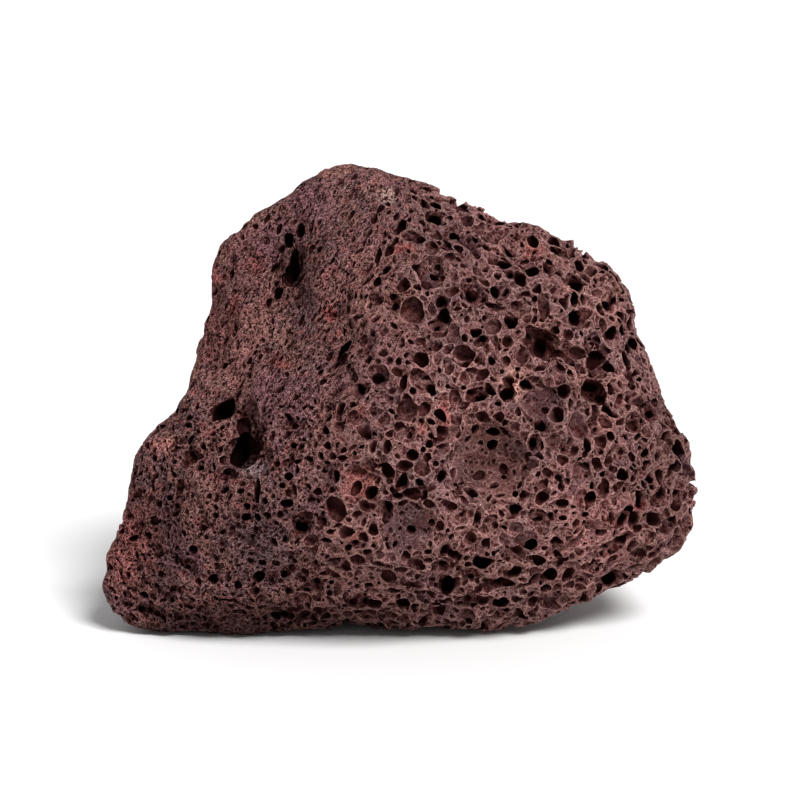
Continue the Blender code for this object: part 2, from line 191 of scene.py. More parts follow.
# each: (across, up), half sizes across and up, bite, and turn from upright to the right in degrees;
# bite is a depth as a share of half width
cups = [
    ((15, 29.2), (5.7, 6.4), 0.5, -15), ((1.2, 17.5), (4.1, 4), 0.34),
    ((23.8, 38.6), (3.2, 4.2), 0.45, -20), ((12.3, 57.8), (2, 2.7), 0.5), ((5.5, 61.2), (1.8, 2.7), 0.5),
    ((-6.6, 25.6), (3.2, 2.8), 0.3), ((-25.8, 35.8), (2.6, 3.8), 0.55), ((-24.4, 28.6), (2.6, 2), 0.4, -30),
    ((23.8, 48.6), (3.1, 2.1), 0.62, 35), ((32.5, 41), (1.8, 2.6), 1.1, -25),
    ((37.2, 30.3), (2, 2.4), 0.5, -15),
]
pits = [
    # the cavity and the slits on the left lobe
    ((-26.1, 31.6), (1.8, 2.7), 2.2, 12), ((-27.2, 29.4), (1.4, 1.9), 2.2, 25),
    ((-24.9, 31.9), (1.3, 1.6), 1.8, -25), ((-26, 34.9), (1.5, 1.6), 0.9),
    ((-29.6, 37.6), (1.5, 2.4), 2.2, 48), ((-23.8, 24.5), (0.6, 2.2), 1.7),
    ((-9.3, 47.8), (0.5, 2.2), 2, 30), ((-17.7, 63.2), (0.7, 1.9), 2.2, 8),
    ((-18, 60.9), (1.35, 1.75), 2.3, 18), ((-24.1, 68.6), (0.8, 0.75), 1.1),
    ((-26.1, 66.9), (0.5, 0.65), 1.2), ((-22.3, 66.4), (0.8, 0.7), 0.7),
    ((-14.6, 68.5), (0.4, 1.2), 1.5, 15), ((-14.3, 61), (0.35, 1.1), 1.6, 15),
    ((-17.9, 58), (0.5, 0.5), 1.5), ((-19.6, 60.2), (0.4, 0.6), 1.6, 20), ((-16.3, 59.8), (0.4, 0.5), 1.5),
    # the broad face, upper part
    ((0.3, 68.4), (0.85, 1.5), 1.7, 15), ((28.9, 63.8), (0.85, 0.7), 1.7),
    ((22.1, 61), (1.5, 1.25), 1.7, -40), ((20.1, 60.1), (1, 1.5), 1.7, -20), ((16, 57.6), (1.2, 1.2), 1.7),
    ((24.6, 61.2), (0.75, 0.7), 1.7), ((16.5, 60.3), (0.7, 0.85), 1.7), ((34.4, 55.3), (1.2, 1.1), 2),
    ((18.4, 52.4), (1.4, 1.4), 2), ((29, 53.3), (1.25, 1.3), 2), ((28.2, 50.2), (1, 1), 1.7, -30),
    ((26.1, 51.3), (0.85, 1), 1.7), ((32.8, 46.2), (1.9, 1.5), 2.2, -30), ((27.6, 41), (1.1, 1.3), 2, -25),
    ((23, 43.1), (0.85, 0.85), 1.7), ((17.7, 45.9), (0.75, 1), 1.7), ((15.2, 45.9), (0.85, 0.85), 1.7),
    ((15.5, 41.3), (0.65, 1.35), 1.7, -25), ((14, 39.5), (0.85, 1), 2), ((16.7, 36.8), (0.95, 0.95), 1.7),
    ((21, 36.4), (0.65, 0.6), 1.7), ((26.4, 36.8), (1.2, 1.4), 1.4, -20),
    ((38.2, 46.3), (0.65, 1.6), 1.7, -15), ((38.9, 41.9), (0.65, 0.85), 1.7),
    ((42.9, 39.1), (0.7, 0.9), 1.7), ((46.8, 31.1), (1.3, 2.3), 1.4, -20), ((46.2, 28.3), (1.3, 1), 1.7),
    ((33.7, 32.7), (1.1, 1.2), 1.1), ((30, 35), (1.6, 2.3), 0.6, -15), ((31.3, 31.9), (0.8, 1.2), 1.4, -15),
    ((26, 32.4), (1.3, 1.3), 1.1), ((22.3, 32), (0.85, 1.05), 1.4), ((27.3, 29.4), (1, 1.2), 1.1),
    ((24.1, 55.1), (0.9, 2.3), 0.6), ((5.8, 69.2), (1.15, 1.25), 1.9), ((9.3, 67), (0.85, 0.9), 1.8),
    ((11.5, 66), (0.45, 0.4), 1.6), ((12.9, 67.2), (0.5, 0.5), 1.5), ((3.9, 72.4), (0.4, 1.3), 1.5, -15),
    ((5.5, 73.5), (0.75, 0.5), 1.3), ((12.8, 58.3), (0.45, 0.5), 1.4), ((18.4, 64), (0.45, 1.9), 1.8, -35),
    ((20.2, 64), (0.6, 0.5), 1.4), ((19.1, 65.4), (0.6, 0.6), 1.2), ((21.3, 62.8), (0.8, 0.45), 1.5),
    ((8, 59), (0.5, 0.5), 1.6), ((6.9, 55.8), (0.95, 1), 1.9), ((5.5, 55), (0.9, 1.1), 0.9),
    ((11.4, 54.4), (0.5, 0.6), 1.5), ((11.2, 53), (0.6, 0.7), 1.4), ((14.7, 55.5), (0.35, 1.1), 1.4, -40),
    ((21, 57.5), (1, 0.7), 1.4), ((19.4, 55.5), (0.8, 0.9), 0.8), ((19.1, 57.9), (0.5, 0.6), 1.2),
    ((25.9, 57.5), (0.7, 0.6), 1.3), ((10.9, 49.9), (0.75, 0.85), 1.9), ((14.2, 49.6), (0.6, 0.75), 1.7),
    ((16.1, 49.6), (0.7, 1.4), 1, -10), ((1.9, 49.3), (0.7, 0.5), 1.5),
    # the broad face, right of the middle
    ((18.5, 47.3), (0.4, 0.4), 1.6), ((8.4, 44.3), (0.75, 1.1), 1.3), ((11.3, 43.4), (1, 1.2), 1, -10),
    ((13.8, 41.6), (0.6, 0.55), 1.4), ((16.7, 38.7), (0.65, 0.5), 1.6), ((18.3, 38.7), (0.3, 0.4), 1.6),
    ((36.2, 48.2), (0.4, 0.4), 1.6), ((38.6, 44.9), (0.5, 0.7), 1.6, -15), ((24.1, 31.5), (0.45, 0.9), 1.3),
    ((30.2, 29.6), (0.65, 0.4), 1.6), ((29.2, 31.1), (0.7, 1), 0.9), ((36, 31.1), (0.4, 0.6), 1.5),
    ((39, 30.1), (0.7, 1.1), 1.2, -15), ((26.7, 26.6), (0.7, 0.8), 1.6, -30),
    ((28.4, 27.2), (0.6, 0.6), 1.4), ((31, 26.6), (0.5, 0.6), 1.3), ((34.3, 27), (0.7, 0.9), 1.6, -20),
    ((39, 26.4), (0.8, 0.9), 1.6), ((40.9, 25.4), (0.7, 1), 1.4, -15),
    ((32.3, 24.9), (0.75, 0.9), 1.9, -20), ((27.3, 22.3), (1.1, 1.1), 1.3), ((27.6, 19.8), (0.9, 0.6), 1.7),
    ((29.4, 20.6), (0.6, 0.5), 1.6), ((39.7, 22.9), (0.8, 1.7), 2, -25), ((41.5, 28.6), (0.6, 1), 1.5),
    ((33.9, 19.8), (0.5, 0.6), 1.3),
    # in and around the broad cup
    ((15.5, 34.1), (1.3, 0.85), 2.2, 10), ((15.5, 32.1), (1, 0.9), 2.2, -20),
    ((11.5, 33), (1, 0.6), 1.7, -35), ((7.4, 29.2), (0.75, 0.45), 1.7, 30),
    ((17.4, 28), (0.8, 1.15), 0.9, 10), ((13.4, 39.4), (0.9, 0.9), 2), ((11.8, 40.5), (0.75, 0.7), 1.7),
    ((9.5, 39.5), (1, 1.7), 1.1), ((9.5, 30), (0.35, 0.35), 1.5), ((14.7, 30.7), (0.45, 0.4), 1.6),
    ((15.2, 28.9), (0.4, 0.4), 1.6), ((12, 29.2), (0.6, 0.3), 1.4), ((13.5, 26.9), (1.2, 1.1), 0.8),
    ((10.5, 25.6), (0.8, 0.25), 1.6, -15), ((18.5, 31.3), (0.4, 0.45), 1.4),
    ((14.1, 24.2), (0.9, 0.6), 0.6), ((0.5, 19.3), (0.5, 0.5), 1.7), ((0.4, 18.1), (0.6, 0.5), 1.7),
    ((4.1, 17.7), (0.5, 0.45), 1.7), ((0.2, 16.6), (0.5, 0.5), 1), ((3.9, 16.2), (0.4, 0.4), 1),
    # the middle
    ((-12.4, 34.4), (0.9, 0.85), 2, 20), ((-1.6, 33.8), (0.75, 0.85), 1.7), ((-3.9, 38.8), (0.6, 0.6), 1.7),
    ((-6.1, 37.5), (1.5, 1.5), 0.5), ((1.4, 37.6), (1.5, 1.6), 0.6), ((5.1, 32.3), (0.7, 0.7), 1.7),
    ((-4.5, 31.6), (0.85, 0.95), 1.4), ((-1.8, 31.4), (0.75, 1.2), 1.4), ((2.2, 30.3), (0.9, 1.1), 1.7),
    ((4.6, 30.1), (0.65, 1.2), 1.4), ((-1.9, 27.6), (1.2, 1.35), 2), ((-1.8, 26), (0.6, 0.7), 1.7),
    ((-10.7, 21.5), (1.7, 2), 0.8, -30), ((2.1, 23.7), (1.45, 1), 2), ((4.1, 23.6), (0.75, 1), 1.4),
    ((5.5, 24.9), (1.4, 1), 0.7, -30), ((-1.8, 21.8), (0.6, 1.35), 2), ((0.8, 22), (1, 0.75), 1.1),
    ((5.1, 22), (1, 1), 0.7), ((13, 20), (0.75, 1.2), 1.7), ((11.5, 20.4), (0.75, 0.85), 1.1),
    ((6.7, 18.3), (1, 1), 1.1), ((10.5, 18), (0.9, 0.9), 0.9), ((16, 18.3), (0.85, 0.85), 1.1),
    ((19.6, 18), (1.5, 1.25), 1.1, -35), ((23.8, 17.5), (1.25, 1.2), 0.7),
    ((26.1, 17.8), (0.85, 0.85), 1.4), ((25.4, 20), (0.7, 0.7), 2), ((19.3, 23.7), (0.75, 0.85), 2),
    ((20.9, 23.4), (1, 1), 1.4), ((16.8, 23.5), (0.85, 0.7), 0.9),
    # the lower part
    ((12.1, 16), (1.1, 1.25), 1.1, -30), ((14.6, 15.5), (0.75, 1.25), 1.7),
    ((17.3, 16.1), (0.95, 1.1), 0.7), ((22, 15.3), (1.1, 1.1), 2), ((19.7, 14.1), (1.35, 2), 0.9, -25),
    ((24.1, 14.6), (0.7, 0.7), 1.4), ((26.5, 13.6), (0.85, 1), 2), ((17.2, 13.4), (0.45, 0.6), 1.7),
    ((13.9, 12.5), (1.5, 1.45), 2.2), ((25.2, 10.5), (1.35, 1.35), 2.2), ((21.6, 8.5), (1, 0.7), 2),
    ((8.1, 8.6), (1.35, 1.5), 2.4), ((10.8, 8.9), (1, 1), 1.1), ((10.3, 11.2), (0.9, 0.75), 1.1),
    ((0.8, 9.1), (1.1, 1.25), 1.1), ((-1.8, 9.9), (1.35, 1.7), 1.1), ((-8.7, 11.7), (1.1, 1.1), 1.1),
    ((-10.7, 9.9), (1, 1.2), 1.1), ((-6.6, 10.2), (0.85, 0.85), 1.1), ((-8.8, 14.5), (0.85, 0.7), 2),
    ((-5.7, 13.7), (0.85, 0.75), 2), ((-12.2, 16), (1.1, 0.85), 1.4), ((-10.3, 7.1), (0.9, 1.2), 1.1),
    ((-4.4, 5.4), (1.5, 1.1), 2), ((-7, 4), (1, 0.75), 1.4), ((-7.7, 6), (0.75, 0.75), 1.4),
    ((4.9, 14.1), (0.85, 0.75), 1.1), ((7.4, 12.1), (0.9, 0.7), 1.1), ((39.4, 19.3), (1, 1.8), 1.7, -20),
    ((42.6, 19.3), (1.5, 1.4), 1.1), ((44.8, 20), (1.2, 1.8), 1.1),
    # the left lobe and the upper left face
    ((-16.4, 18.3), (1.4, 1.1), 1.7, 20), ((-34.6, 14.4), (0.9, 0.85), 2),
    ((-33.2, 18.1), (0.85, 0.6), 1.7, 30), ((-23.6, 10.1), (0.95, 1.5), 2, 20),
    ((-33.5, 7.6), (0.75, 0.6), 1.7), ((-35.8, 9.9), (1.1, 1.1), 0.6), ((-16.4, 14.3), (0.6, 0.6), 1.7),
    ((-24.4, 17.3), (0.75, 0.85), 1.4, 20), ((-23.9, 19.5), (0.85, 0.75), 1.4),
    ((-16.5, 31.8), (0.75, 0.75), 1.4), ((-13.9, 9), (0.7, 0.8), 1.6), ((-21.2, 5.9), (0.8, 0.7), 1.5),
    ((-17.6, 5.9), (0.6, 0.7), 1.4), ((-15, 5.3), (0.7, 0.6), 1.4), ((-15, 29.4), (0.85, 0.7), 1.5),
    ((-13.1, 28), (0.6, 0.6), 1.5), ((-14.8, 27.7), (0.5, 0.5), 1.4), ((-11.7, 28.8), (0.5, 0.6), 1.6),
    ((-13.9, 26), (0.5, 0.5), 1.5), ((-7.5, 30.5), (0.6, 0.6), 1.6), ((-42.2, 22.7), (0.5, 1.2), 1.5, 10),
    ((-41, 26.2), (0.5, 1.2), 1.4, 10), ((-20.1, 57.3), (0.75, 1.3), 2, 15),
    ((-3.6, 63.7), (0.5, 1.5), 1.4, 10), ((-16.5, 67.9), (0.85, 1.4), 1.8, 10),
    ((-18.5, 66.3), (0.95, 1.2), 1.8, 10), ((-25.2, 43.4), (0.95, 0.6), 1.7, 20),
    ((-12.4, 42.8), (0.85, 0.85), 1.1), ((-8, 43.4), (1.2, 1.35), 0.8), ((-5.1, 46.4), (0.75, 0.85), 1.7),
    ((2.3, 54.3), (1.8, 2), 0.8), ((3, 58.3), (0.85, 0.7), 1.7), ((-2.5, 51.1), (1, 1.2), 0.8),
    ((-2.5, 47.3), (0.85, 1), 0.9), ((0.1, 48.9), (0.85, 1), 1.1), ((-0.2, 45.9), (0.6, 0.75), 1.7),
    ((1.3, 45.7), (0.6, 0.75), 1.7),
]
# the pits between those, a row for each step, in coarse rock, in the lobe, in fine rock and behind:
# half widths from and to in millimetres, and spots tried for each square millimetre
bowls = {
    "seed": 21,
    "steps": [
        [(1.6, 2.4, 0.12), (1.2, 2.0, 0.03), (1.0, 1.8, 0.03), (2.2, 3.2, 0.04)],
        [(1.0, 1.6, 0.5), (0.7, 1.1, 0.10), (0.7, 1.0, 0.05), (1.4, 2.2, 0.04)],
        [(0.65, 1.0, 0.9), (0.45, 0.7, 0.10), (0.5, 0.7, 0.05), (1.0, 1.4, 0.01)],
    ],
    "wall": -0.15,
    "bite": [(0.35, 0.85), (0.35, 0.85), (0.3, 0.6), (0.35, 0.85)],
    "stretch": (1.0, 1.7),
}
holes = {
    "seed": 11,
    "steps": [
        [(0.85, 1.40, 0.28), (0.50, 0.85, 0.24), (0.50, 0.80, 0.08), (1.2, 1.9, 0.02)],
        [(0.45, 0.80, 1.8), (0.34, 0.60, 3.4), (0.30, 0.48, 1.7), (0.7, 1.2, 0.06)],
        [(0.26, 0.42, 1.1), (0.22, 0.32, 2.2), (0.22, 0.28, 1.0), (0.35, 0.7, 0.15)],
    ],
    "wall": 0.05,
    "bite": [(0.5, 2.4), (0.8, 2.4), (0.7, 1.8), (0.6, 2.3)],
    "stretch": (1.0, 1.6),
    "calmShare": 0.5,                # of all but the largest, inside the broad cups
}
# in fine rock the pits are drawn out along its grain, which is turned so many degrees with so much spread
fineRock = {"kind": 2, "drawn": 1.2, "turn": 26, "spread": 14}
crowding = {"cell": 1.6 * mm, "cupShare": 0.95}
mould = {
    "seed": 3,
    "count": 16,
    "dents": 0.17,
    "broadDents": 0.12,
    "dentSize": 0.9,
    "spread": 50,                    # how far apart in the noise the dents are taken
    "berth": 1.22,                   # how far apart pits of one lot are, as a share of their reach
    "neck": 0.35,                    # how far under the surface the deepest pits are widest
    "level": 0.2,                    # a surface this near to level has no upright of its own
}
# how a pit is aimed: over what share of its half size the surface is felt for, how far off a feeler
# may land, and how far it turns towards the eye
aiming = {"step": 0.8, "most": 4, "towardsEye": 0.35}
# where one kind of rock gives way to another, in millimetres: the line between coarse and fine leans
divide = {"across": -17, "up": 8, "slope": 0.30, "blend": 9, "behind": (4, 15), "lobe": (43, 34)}


def kindsOfRock(points):
    # how much of each kind of rock there is at each point: coarse, the lobe's, fine, and behind
    across, up, out = placesOf(points)
    line = divide["across"] + (up - divide["up"]) * divide["slope"]
    coarse = smoothStep(-divide["blend"], divide["blend"], across - line)
    lobe = smoothStep(*divide["lobe"], up)
    behind = smoothStep(*divide["behind"], -out)
    front = 1 - behind
    shares = [coarse * front, (1 - coarse) * lobe * front, (1 - coarse) * (1 - lobe) * front, behind]
    return np.stack(shares, axis=1)


def makeMoulds(maker, dents, **settings):
    # dented shapes that the pits' cutters are pressed from
    rng = random.Random(mould["seed"])
    moulds = []
    for _ in range(mould["count"]):
        bm = bmesh.new()
        maker(bm, radius=1, **settings)
        bmesh.ops.triangulate(bm, faces=bm.faces)
        shift = Vector([rng.uniform(-mould["spread"], mould["spread"]) for _ in range(3)])
        for vert in bm.verts:
            vert.co *= 1 + dents * noise.noise(vert.co / mould["dentSize"] + shift)
        coords = np.array([vert.co for vert in bm.verts])
        faces = np.array([[vert.index for vert in face.verts] for face in bm.faces])
        bm.free()
        moulds.append((coords, faces))
    return moulds


def pitFrame(outwards, turn=0.0):
    # the axes of a pit: right, upright and out of the surface, turned from upright to the right
    outwards = outwards.normalized()
    upright = Vector((0, 0, 1)) - outwards * outwards.z
    if upright.length < mould["level"]:
        upright = Vector((0, 1, 0)) - outwards * outwards.y
    upright.normalize()
    right = upright.cross(outwards)
    axes = Matrix((right, upright, outwards)).transposed()
    return axes @ Matrix.Rotation(math.radians(-turn), 3, "Z")


def makePit(middle, outwards, halves, turn, bite):
    # middle is on the surface, and the mouth keeps the given half sizes however deep the pit is
    width = sum(halves) / 2
    if bite < 1:
        sink = (bite * bite - 1) / (bite * bite + 1)
    else:
        sink = mould["neck"] * (1 - 1 / bite)
    mouth = math.sqrt(1 - sink * sink)
    size = (halves[0] / mouth, halves[1] / mouth, bite * width / (1 + sink))
    centre = middle - outwards.normalized() * (size[2] * sink)
    axes = pitFrame(outwards, turn)
    return {
        "centre": centre, "axes": axes, "size": size, "reach": max(size), "half": halves, "mouth": middle
    }


def sightedPit(tree, place, halves, bite, turn=0):
    aim = inFrame(*place)
    ray = (aim - eye).normalized()
    middle, normal, _, _ = tree.ray_cast(eye, ray)
    step = aiming["step"] * max(halves) * mm
    normals = [normal]
    for shift in (Vector((step, 0, 0)), Vector((-step, 0, 0)), upward * step, -upward * step):
        hit = tree.ray_cast(eye, (middle + shift - eye).normalized())
        if hit[0] is not None and (hit[0] - middle).length < aiming["most"] * step:
            normals.append(hit[1])
    outwards = sum(normals, Vector()).normalized()
    outwards = (outwards - ray * aiming["towardsEye"]).normalized()
    return makePit(middle, outwards, [half * mm for half in halves], turn, bite)


def bubbleMesh(chosen, moulds, rolled, seed):
    rng = random.Random(seed)
    coords, faces, count = [], [], 0
    for pit in chosen:
        shape, corners = moulds[rng.randrange(len(moulds))]
        axis = (rng.gauss(0, 1), rng.gauss(0, 1), rng.gauss(0, 1)) if rolled else "Z"
        spin = Matrix.Rotation(rng.uniform(0, math.tau), 3, axis)
        pressed = shape @ np.array(spin).T * np.array(pit["size"])
        coords.append(pressed @ np.array(pit["axes"]).T + np.array(pit["centre"]))
        faces.append(corners + count)
        count += len(shape)
    mesh = bpy.data.meshes.new("bubbles")
    mesh.from_pydata(np.concatenate(coords), [], np.concatenate(faces))
    return mesh


def lotsOf(chosen):
    # the pits dealt into lots in which no two touch, because a lot is cut in one go
    tree = KDTree(len(chosen))
    for index, pit in enumerate(chosen):
        tree.insert(pit["centre"], index)
    tree.balance()
    widest = max(pit["reach"] for pit in chosen)
    lotOf = {}
    for index in sorted(range(len(chosen)), key=lambda index: -chosen[index]["reach"]):
        pit = chosen[index]
        taken = set()
        for _, other, apart in tree.find_range(pit["centre"], mould["berth"] * (pit["reach"] + widest)):
            if other in lotOf and apart < mould["berth"] * (pit["reach"] + chosen[other]["reach"]):
                taken.add(lotOf[other])
        lotOf[index] = min(set(range(len(taken) + 1)) - taken)
    lots = [[] for _ in range(max(lotOf.values()) + 1)]
    for index, number in lotOf.items():
        lots[number].append(chosen[index])
    return lots


def cut(mesh, chosen, moulds, rolled, seed):
    before = len(mesh.polygons)
    for number, lot in enumerate(lotsOf(chosen)):
        cutter = newObject("cutter", bubbleMesh(lot, moulds, rolled, seed + number))
        mesh = afterModifier(mesh, "BOOLEAN", operation="DIFFERENCE", solver="MANIFOLD", object=cutter)
        bpy.data.objects.remove(cutter)
    print("cut", len(chosen), "pits:", before, "->", len(mesh.polygons), "faces", flush=True)
    return mesh


class Crowd:
    # who is where on the surface, so that a newcomer finds how much room its neighbours leave
    def __init__(self, cell):
        self.cell = cell
        self.cells = {}

    def add(self, point, radius, reserve):
        low = [math.floor((c - radius - reserve) / self.cell) for c in point]
        high = [math.floor((c + radius + reserve) / self.cell) for c in point]
        for x in range(low[0], high[0] + 1):
            for y in range(low[1], high[1] + 1):
                for z in range(low[2], high[2] + 1):
                    self.cells.setdefault((x, y, z), []).append((point, radius))

    def room(self, point, most):
        key = tuple(math.floor(c / self.cell) for c in point)
        for other, radius in self.cells.get(key, ()):
            most = min(most, (other - point).length - radius)
        return most


def treeOf(mesh):
    return BVHTree.FromPolygons([v.co for v in mesh.vertices], [tuple(p.vertices) for p in mesh.polygons])


def samples(mesh, step, rng):
    # spots over the surface as closely as the step says, with their normals and the sizes wanted there
    mesh.calc_loop_triangles()
    corners = np.empty(len(mesh.loop_triangles) * 3, np.int32)
    mesh.loop_triangles.foreach_get("vertices", corners)
    points = vertexArray(mesh)[corners.reshape(-1, 3)]
    cross = np.cross(points[:, 1] - points[:, 0], points[:, 2] - points[:, 0])
    area = np.linalg.norm(cross, axis=1) / 2 / mm**2
    wanted = area * (kindsOfRock(points.mean(axis=1)) @ np.array(step))[:, 2]
    count = round(wanted.sum())
    picked = rng.choice(len(area), size=count, p=wanted / wanted.sum())
    a, b = rng.random(count), rng.random(count)
    a, b = np.where(a + b > 1, 1 - a, a), np.where(a + b > 1, 1 - b, b)
    corner = points[picked]
    one, other = corner[:, 1] - corner[:, 0], corner[:, 2] - corner[:, 0]
    spots = corner[:, 0] + a[:, None] * one + b[:, None] * other
    normals = cross[picked] / np.linalg.norm(cross[picked], axis=1)[:, None]
    kinds = kindsOfRock(spots)
    return spots, normals, kinds, (kinds @ np.array(step))[:, :2] * mm


def scatterPits(mesh, family, listed, calm=()):
    # each newcomer grows until it meets a neighbour, so that only a thin wall is left between them
    rng = np.random.default_rng(family["seed"])
    wall = family["wall"] * mm
    cupShare = crowding["cupShare"]
    reserve = (family["steps"][0][3][1] + family["wall"]) * mm
    crowd = Crowd(crowding["cell"])
    for pit in listed:
        crowd.add(pit["mouth"], math.sqrt(pit["half"][0] * pit["half"][1]), reserve)
    made = []
    for step in family["steps"]:
        spots, normals, kinds, sizes = samples(mesh, step, rng)
        widest = sizes[:, 0] + (sizes[:, 1] - sizes[:, 0]) * rng.random(len(spots))
        before = len(made)
        for index in range(len(spots)):
            spot = Vector(spots[index])
            radius = min(crowd.room(spot, reserve) - wall, widest[index])
            if radius < sizes[index, 0]:
                continue
            inCup = any((spot - cup["mouth"]).length < cupShare * min(cup["half"]) for cup in calm)
            if inCup and (step is family["steps"][0] or rng.random() > family["calmShare"]):
                continue
            crowd.add(spot, radius, sizes[:, 1].max() + wall)
            stretch = math.sqrt(rng.uniform(*family["stretch"]))
            kind = kinds[index].argmax()
            bite = rng.uniform(*family["bite"][kind])
            halves = (radius / stretch, radius * stretch)
            turn = rng.uniform(-90, 90)
            if kind == fineRock["kind"]:
                turn = rng.normal(fineRock["turn"], fineRock["spread"])
                halves = (radius / stretch / fineRock["drawn"], radius * stretch * fineRock["drawn"])
            made.append(makePit(spot, Vector(normals[index]), halves, turn, bite))
        print("  scattered", len(made) - before, "of", len(spots), flush=True)
    return made


def mended(mesh):
    # where an edge has not just two faces, the faces around it are taken out and the gap is closed
    bm = bmesh.new()
    bm.from_mesh(mesh)
    for _ in range(skin["mendings"]):
        bad = [edge for edge in bm.edges if not (edge.is_manifold and edge.is_contiguous)]
        faulty = {vert for edge in bad for vert in edge.verts}
        if not faulty:
            break
        print("  mended", len(faulty), "vertices", flush=True)
        bmesh.ops.delete(bm, geom=list(faulty), context="VERTS")
        following = {}
        for edge in bm.edges:
            if edge.is_boundary:
                loop = edge.link_loops[0]
                following[loop.link_loop_next.vert] = loop.vert
        patches = []
        while following:
            start, vert = following.popitem()
            ring = [start]
            while vert != start:
                ring.append(vert)
                vert = following.pop(vert, start)
            if len(ring) > 2:
                patches.append(bm.faces.new(ring))
        bmesh.ops.triangulate(bm, faces=patches)
    bm.to_mesh(mesh)
    bm.free()
    return mesh


def inOrder(mesh):
    # the triangles sorted by their corners, because the cuts leave them in any order
    corners = np.empty(len(mesh.loops), np.int32)
    mesh.loops.foreach_get("vertex_index", corners)
    corners = corners.reshape(-1, 3)
    lowest = corners.argmin(axis=1)[:, None]
    corners = np.take_along_axis(corners, (lowest + np.arange(3)) % 3, axis=1)
    corners = corners[np.lexsort(corners.T[::-1])]
    ordered = bpy.data.meshes.new("rock")
    ordered.from_pydata(vertexArray(mesh), [], corners)
    bpy.data.meshes.remove(mesh)
    return ordered


def thinned(mesh, most):
    mesh.calc_loop_triangles()
    before = len(mesh.loop_triangles)
    share = min(1.0, most / before)
    mesh = mended(afterModifier(mesh, "DECIMATE", ratio=share, use_collapse_triangulate=True))
    print("thinned", before, "->", len(mesh.polygons), "triangles", flush=True)
    return mesh


def withoutCrumbs(mesh):
    # leaves only the rock itself, without bits that the pits cut loose
    bm = bmesh.new()
    bm.from_mesh(mesh)
    bm.verts.ensure_lookup_table()
    seen = [False] * len(bm.verts)
    parts = []
    for start in bm.verts:
        if seen[start.index]:
            continue
        part, frontier = [], [start]
        seen[start.index] = True
        while frontier:
            vert = frontier.pop()
            part.append(vert)
            for edge in vert.link_edges:
                other = edge.other_vert(vert)
                if not seen[other.index]:
                    seen[other.index] = True
                    frontier.append(other)
        parts.append(part)
    parts.sort(key=len)
    loose = [vert for part in parts[:-1] for vert in part]
    bmesh.ops.delete(bm, geom=loose, context="VERTS")
    bm.to_mesh(mesh)
    bm.free()
    print("  crumbs", len(parts) - 1, "vertices", len(loose), flush=True)
    return mesh


ruggedness = {
    "seed": 4,
    "groundZone": 1.5 * mm,
    "waves": [(3.2 * mm, 0.55 * mm), (1.4 * mm, 0.30 * mm)],   # size and reach
    "chips": 0.025 * mm,
    "tip": 0.3 * mm,                 # the longest tip allowed
    "rounds": 4,
}


def blunted(mesh):
    # tips that stand out too far are pushed in
    points = vertexArray(mesh)
    ends = np.empty(len(mesh.edges) * 2, np.int32)
    mesh.edges.foreach_get("vertices", ends)
    one, other = ends.reshape(-1, 2).T
    around = np.bincount(ends, minlength=len(points))[:, None]
    for _ in range(ruggedness["rounds"]):
        mesh.vertices.foreach_set("co", points.ravel())
        mesh.update()
        normals = normalArray(mesh)
        total = np.zeros_like(points)
        np.add.at(total, one, points[other])
        np.add.at(total, other, points[one])
        height = ((points - total / around) * normals).sum(axis=1)
        points -= normals * np.maximum(height - ruggedness["tip"], 0)[:, None]
    mesh.vertices.foreach_set("co", points.ravel())
    return mesh


def roughened(mesh):
    noise.seed_set(ruggedness["seed"])         # noise_vector takes its offsets from this
    rng = np.random.default_rng(ruggedness["seed"])
    points = vertexArray(mesh)
    free = smoothStep(0, ruggedness["groundZone"], points[:, 2])[:, None]
    for size, reach in ruggedness["waves"]:
        points += np.array([noise.noise_vector(Vector(point) / size) for point in points]) * free * reach
    points += rng.normal(0, ruggedness["chips"], points.shape) * free
    points[:, 2] = np.maximum(points[:, 2], 0)
    mesh.vertices.foreach_set("co", points.ravel())
    return blunted(mesh)


# how much of the sky a place sees, by which the finish paints shade into pits and hollows
sky = {"seed": 8, "rays": 16, "reach": 5 * mm, "lift": 0.03 * mm}


def opennessOf(mesh):
    rng = np.random.default_rng(sky["seed"])
    points = vertexArray(mesh)
    tree = treeOf(mesh)
    # rays spread evenly over the half ball above the surface, denser towards its top
    ring = (np.arange(sky["rays"]) + 0.5) / sky["rays"]
    around = np.arange(sky["rays"]) * math.pi * (3 - math.sqrt(5))
    opened = np.zeros(len(points))
    for index, (point, normal) in enumerate(zip(points, normalArray(mesh))):
        upwards = Vector(normal)
        side = upwards.orthogonal().normalized()
        other = upwards.cross(side)
        start = Vector(point) + upwards * sky["lift"]
        turn = rng.uniform(0, math.tau)
        clear = 0
        for share, angle in zip(ring, around):
            flat, high = math.sqrt(share), math.sqrt(1 - share)
            ray = side * (flat * math.cos(angle + turn)) + other * (flat * math.sin(angle + turn))
            ray += upwards * high
            if tree.ray_cast(start, ray, sky["reach"])[0] is None:
                clear += 1
        opened[index] = clear / sky["rays"]
    return opened
